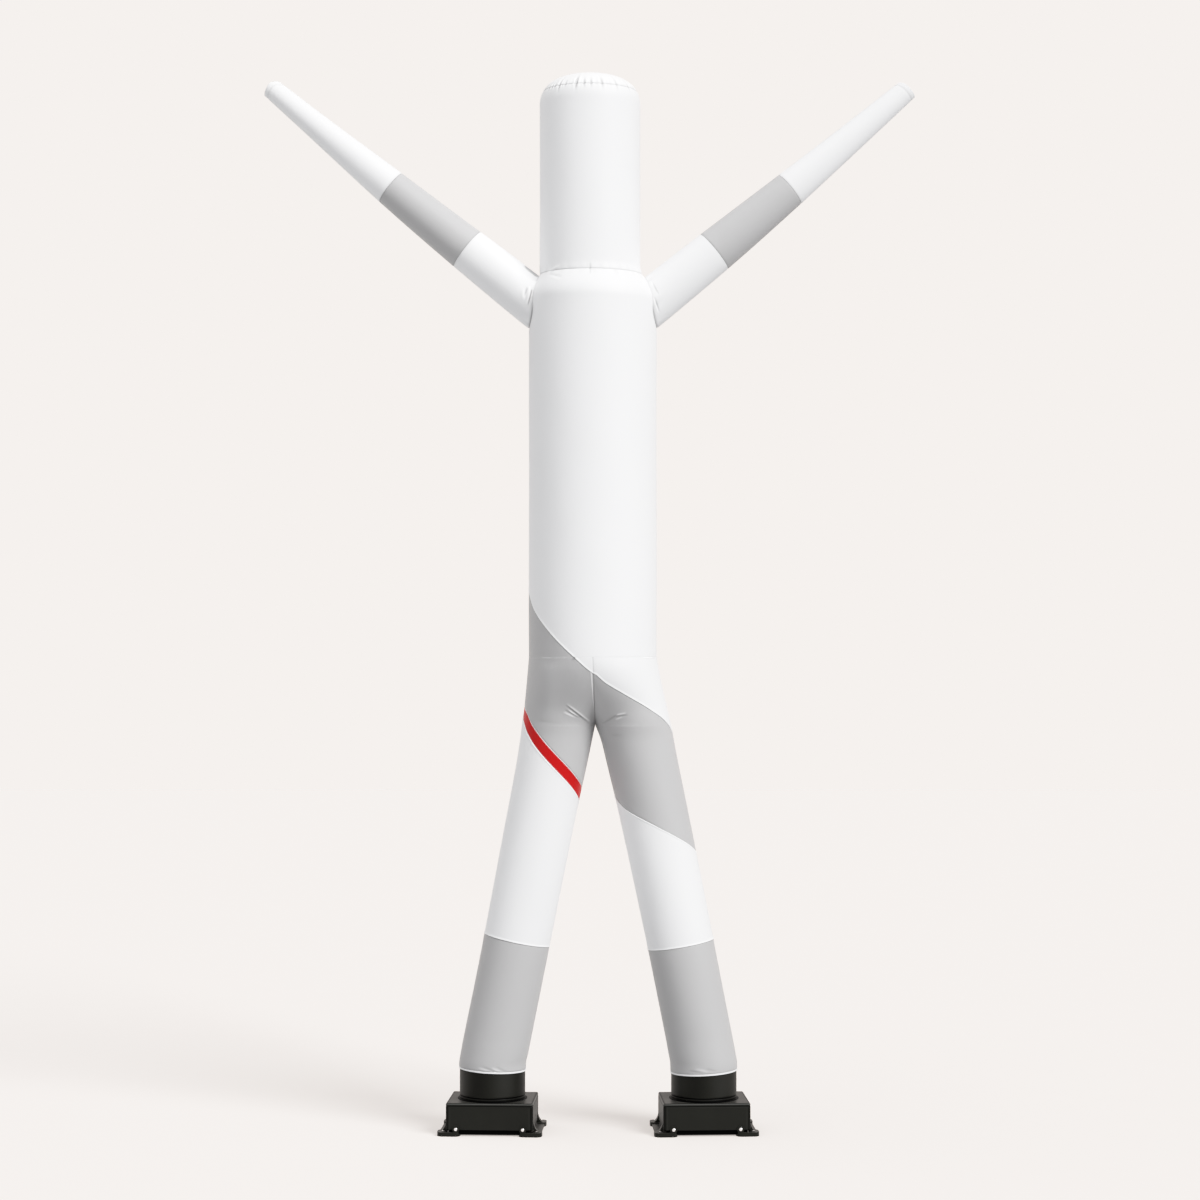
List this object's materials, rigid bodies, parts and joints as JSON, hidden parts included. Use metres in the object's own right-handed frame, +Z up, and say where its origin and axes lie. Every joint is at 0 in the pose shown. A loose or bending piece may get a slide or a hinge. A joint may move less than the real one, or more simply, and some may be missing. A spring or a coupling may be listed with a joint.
{
  "type": "inflatable air dancer",
  "caption": "Tall inflatable air dancer: white cloth figure with a grey sash and bands, a red stripe, raised tapered arms, and a low black floor blower under each leg.",
  "frame": {"origin": "on the floor, under the middle of the whole figure, arm tip to arm tip", "axes": "+Z up the figure, front towards -Y, +X to the figure's side with the white hip"},
  "size_m": [3.0814, 0.606, 5],
  "materials": {
    "white_cloth": "smooth coated white polyester, soft sheen",
    "grey_cloth": "smooth coated mid grey polyester, soft sheen",
    "red_cloth": "smooth coated red polyester, soft sheen",
    "black_plastic": "moulded black plastic, semi-gloss, fine grain",
    "screw_steel": "bright domed screw heads"
  },
  "bodies": {
    "root": {"arm_left_band": "grey_cloth", "arm_left_hand": "white_cloth", "arm_left_root": "white_cloth", "arm_right_band": "grey_cloth", "arm_right_hand": "white_cloth", "arm_right_root": "white_cloth", "blower_left_back_a_ear_screw": "screw_steel", "blower_left_back_a_tab_screw": "screw_steel", "blower_left_back_b_ear_screw": "screw_steel", "blower_left_back_b_tab_screw": "screw_steel", "blower_left_base_a": "black_plastic", "blower_left_base_b": "black_plastic", "blower_left_front_a_ear_screw": "screw_steel", "blower_left_front_a_tab_screw": "screw_steel", "blower_left_front_b_ear_screw": "screw_steel", "blower_left_front_b_tab_screw": "screw_steel", "blower_left_housing": "black_plastic", "blower_left_outlet": "black_plastic", "blower_right_back_a_ear_screw": "screw_steel", "blower_right_back_a_tab_screw": "screw_steel", "blower_right_back_b_ear_screw": "screw_steel", "blower_right_back_b_tab_screw": "screw_steel", "blower_right_base_a": "black_plastic", "blower_right_base_b": "black_plastic", "blower_right_front_a_ear_screw": "screw_steel", "blower_right_front_a_tab_screw": "screw_steel", "blower_right_front_b_ear_screw": "screw_steel", "blower_right_front_b_tab_screw": "screw_steel", "blower_right_housing": "black_plastic", "blower_right_outlet": "black_plastic", "head": "white_cloth", "head_cap": "white_cloth", "leg_left_corner_back": "white_cloth", "leg_left_corner_front": "white_cloth", "leg_left_foot": "grey_cloth", "leg_left_hem": "white_cloth", "leg_left_sash": "grey_cloth", "leg_left_stripe": "red_cloth", "leg_left_white": "white_cloth", "leg_right_foot": "grey_cloth", "leg_right_hem": "white_cloth", "leg_right_sash": "grey_cloth", "leg_right_top": "white_cloth", "leg_right_white": "white_cloth", "torso": "white_cloth", "torso_sash": "grey_cloth"}
  },
  "joints": []
}
